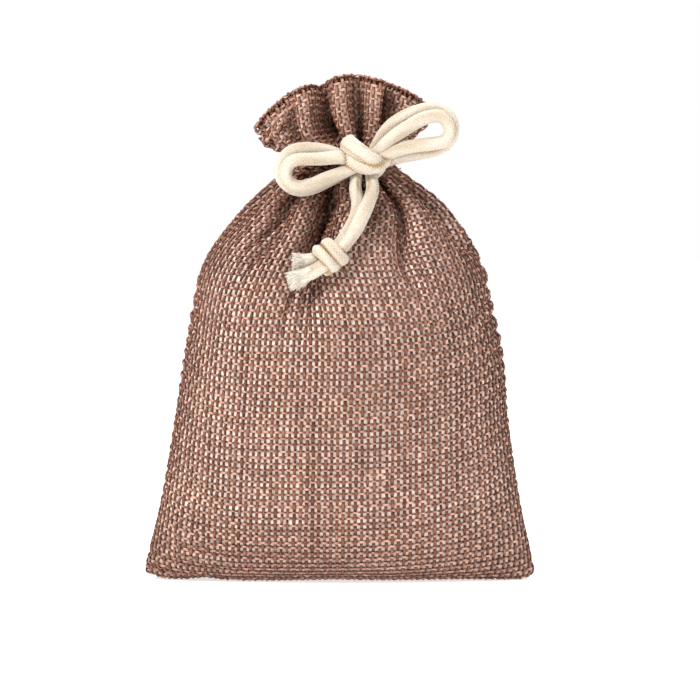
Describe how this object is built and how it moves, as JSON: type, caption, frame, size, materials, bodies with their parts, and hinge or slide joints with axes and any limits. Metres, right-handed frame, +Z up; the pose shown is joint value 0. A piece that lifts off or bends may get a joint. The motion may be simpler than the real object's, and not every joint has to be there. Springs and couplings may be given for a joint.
{
  "type": "drawstring gift pouch",
  "caption": "Small upright gift pouch of coarse woven cloth, gathered at the neck by a cotton drawstring tied in a bow.",
  "frame": {"origin": "middle of the base, on the surface it stands on", "axes": "+Z up; -Y is the front, where the bow is; +X to the right as seen from the front"},
  "size_m": [0.0981, 0.05, 0.128],
  "materials": {
    "woven_cloth": "coarse plain weave of flat satin yarns, dusty brown-pink",
    "facing_cloth": "turned-in edge of the same weave, in shade",
    "sewing_thread": "brown polyester thread",
    "cotton_cord": "soft unbleached braided cotton, matt",
    "frayed_cotton": "loose cotton fibres"
  },
  "bodies": {
    "pouch": {"front_panel": "woven_cloth", "back_panel": "woven_cloth", "left_side_seam": "woven_cloth", "right_side_seam": "woven_cloth", "bottom_seam": "woven_cloth", "channel_cord": "cotton_cord", "front_channel": "woven_cloth", "back_channel": "woven_cloth", "front_header": "woven_cloth", "back_header": "woven_cloth", "front_hem_facing": "facing_cloth", "back_hem_facing": "facing_cloth", "left_seam_thread": "sewing_thread", "right_seam_thread": "sewing_thread", "bottom_seam_thread": "sewing_thread", "channel_lower_thread": "sewing_thread", "channel_upper_thread": "sewing_thread", "bow_knot": "cotton_cord"},
    "left_loop": {"left_loop_outer": "cotton_cord", "left_loop_inner": "cotton_cord"},
    "right_loop": {"right_loop_outer": "cotton_cord", "right_loop_inner": "cotton_cord"},
    "drawstring_tail": {"tail_strand_left": "cotton_cord", "tail_strand_right": "cotton_cord", "tail_knot": "cotton_cord", "tail_fringe_upper": "frayed_cotton", "tail_fringe_lower": "frayed_cotton"}
  },
  "joints": [
    {"name": "left_loop_bend", "type": "hinge", "parent": "pouch", "child": "left_loop", "pos_m": [0.0004, -0.0164, 0.105], "axis": [0, 0, 1], "range_deg": [0, 45]},
    {"name": "right_loop_bend", "type": "hinge", "parent": "pouch", "child": "right_loop", "pos_m": [0.0128, -0.0164, 0.11], "axis": [0, 0, -1], "range_deg": [0, 45]},
    {"name": "tail_lift", "type": "hinge", "parent": "pouch", "child": "drawstring_tail", "pos_m": [0.006, -0.0145, 0.1025], "axis": [-1, 0, 0], "range_deg": [0, 80]}
  ]
}
